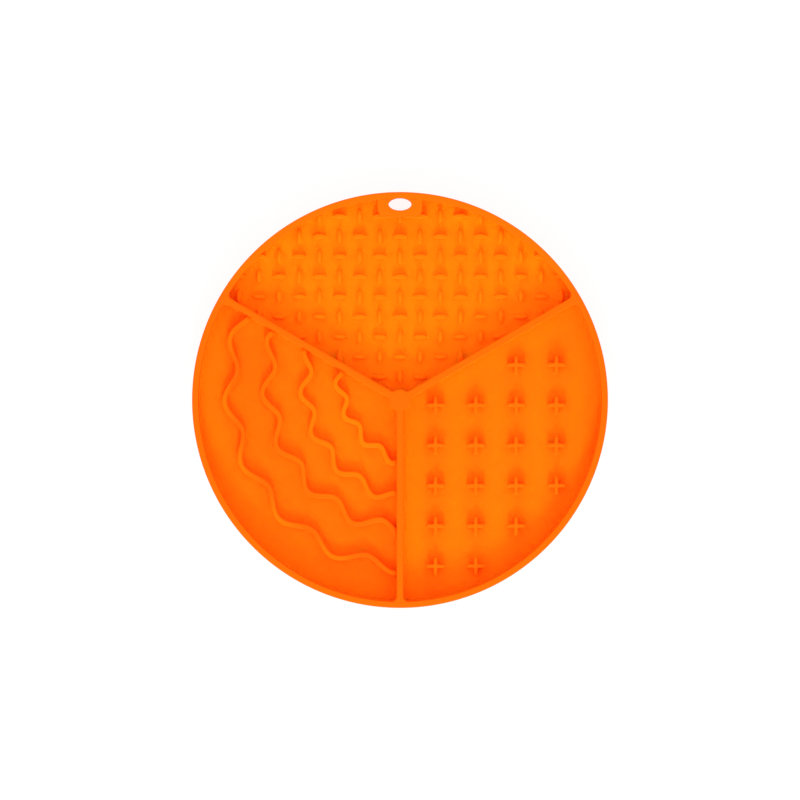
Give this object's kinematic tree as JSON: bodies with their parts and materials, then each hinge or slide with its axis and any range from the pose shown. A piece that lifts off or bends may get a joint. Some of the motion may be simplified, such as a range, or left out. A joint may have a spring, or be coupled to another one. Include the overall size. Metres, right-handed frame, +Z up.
{
  "type": "lick mat",
  "caption": "Round walled silicone lick mat for slow feeding, in compartments with wave ridges, cross studs and weave fins, with a hanging hole and suction cups.",
  "frame": {"origin": "on the mat's axis, at the level of the suction cups' lips", "axes": "+Z up out of the mat, +Y towards the hanging hole, +X to the side with the cross studs"},
  "size_m": [0.2, 0.2, 0.0155],
  "materials": {
    "floor_silicone": "matt, soft",
    "wall_silicone": "satin, soft",
    "texture_silicone": "satin, soft",
    "cup_silicone": "smooth, soft"
  },
  "bodies": {
    "root": {"mat_floor": "floor_silicone", "outer_rim": "wall_silicone", "divider_right": "wall_silicone", "divider_left": "wall_silicone", "divider_front": "wall_silicone", "centre_boss": "wall_silicone", "hanging_tab": "wall_silicone", "wave_ridge_1": "texture_silicone", "wave_ridge_2": "texture_silicone", "wave_ridge_3": "texture_silicone", "wave_ridge_4": "texture_silicone", "cross_stud_1": "texture_silicone", "cross_stud_2": "texture_silicone", "cross_stud_3": "texture_silicone", "cross_stud_4": "texture_silicone", "cross_stud_5": "texture_silicone", "cross_stud_6": "texture_silicone", "cross_stud_7": "texture_silicone", "cross_stud_8": "texture_silicone", "cross_stud_9": "texture_silicone", "cross_stud_10": "texture_silicone", "cross_stud_11": "texture_silicone", "cross_stud_12": "texture_silicone", "cross_stud_13": "texture_silicone", "cross_stud_14": "texture_silicone", "cross_stud_15": "texture_silicone", "cross_stud_16": "texture_silicone", "cross_stud_17": "texture_silicone", "cross_stud_18": "texture_silicone", "cross_stud_19": "texture_silicone", "weave_row_1": "texture_silicone", "weave_row_2": "texture_silicone", "weave_row_3": "texture_silicone", "weave_row_4": "texture_silicone", "weave_row_5": "texture_silicone", "weave_row_6": "texture_silicone", "weave_row_7": "texture_silicone", "weave_row_8": "texture_silicone", "weave_row_9": "texture_silicone", "suction_cup_1": "cup_silicone", "suction_cup_2": "cup_silicone", "suction_cup_3": "cup_silicone", "suction_cup_4": "cup_silicone", "suction_cup_5": "cup_silicone", "suction_cup_6": "cup_silicone", "suction_cup_7": "cup_silicone", "suction_cup_8": "cup_silicone", "suction_cup_9": "cup_silicone", "suction_cup_10": "cup_silicone", "suction_cup_11": "cup_silicone", "suction_cup_12": "cup_silicone", "suction_cup_13": "cup_silicone", "suction_cup_14": "cup_silicone", "suction_cup_15": "cup_silicone", "suction_cup_16": "cup_silicone", "suction_cup_17": "cup_silicone", "suction_cup_18": "cup_silicone", "suction_cup_19": "cup_silicone"}
  },
  "joints": []
}
